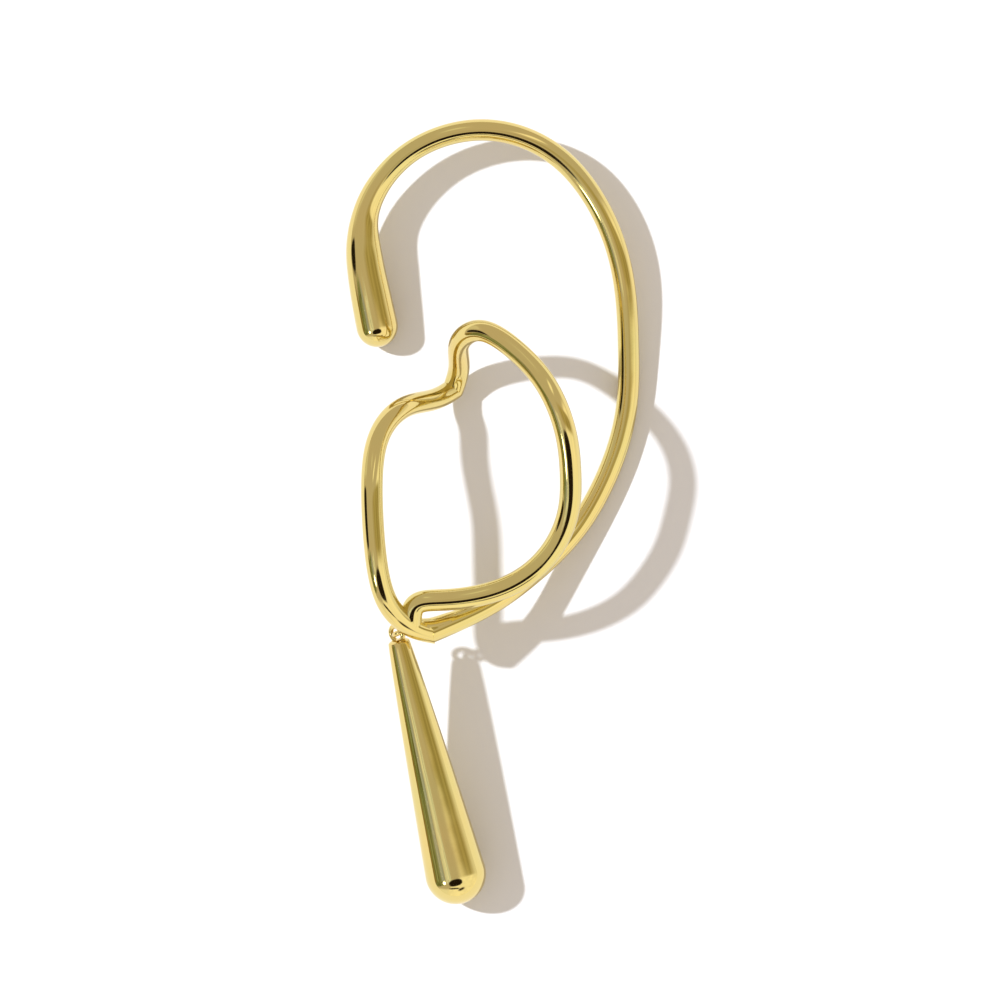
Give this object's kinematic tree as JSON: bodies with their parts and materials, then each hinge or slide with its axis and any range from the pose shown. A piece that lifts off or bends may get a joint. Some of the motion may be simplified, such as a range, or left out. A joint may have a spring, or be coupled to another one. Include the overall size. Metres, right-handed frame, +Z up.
{
  "type": "ear cuff",
  "caption": "Bent wire ear cuff: an over-ear hook with a ball end, a raised inner loop that sits in the ear, and a long solid teardrop hanging from linked eyes.",
  "frame": {"origin": "centre of the cuff's footprint on the surface it lies on", "axes": "+Z up from that surface, +Y from the drop towards the top of the hook's arch, +X towards the hook's back, away from its ball end"},
  "size_m": [0.0336, 0.0896, 0.0165],
  "materials": {
    "polished_gold": "mirror-polished yellow gold plating on brass"
  },
  "bodies": {
    "root": {"cuff_wire": "polished_gold", "teardrop": "polished_gold"}
  },
  "joints": []
}
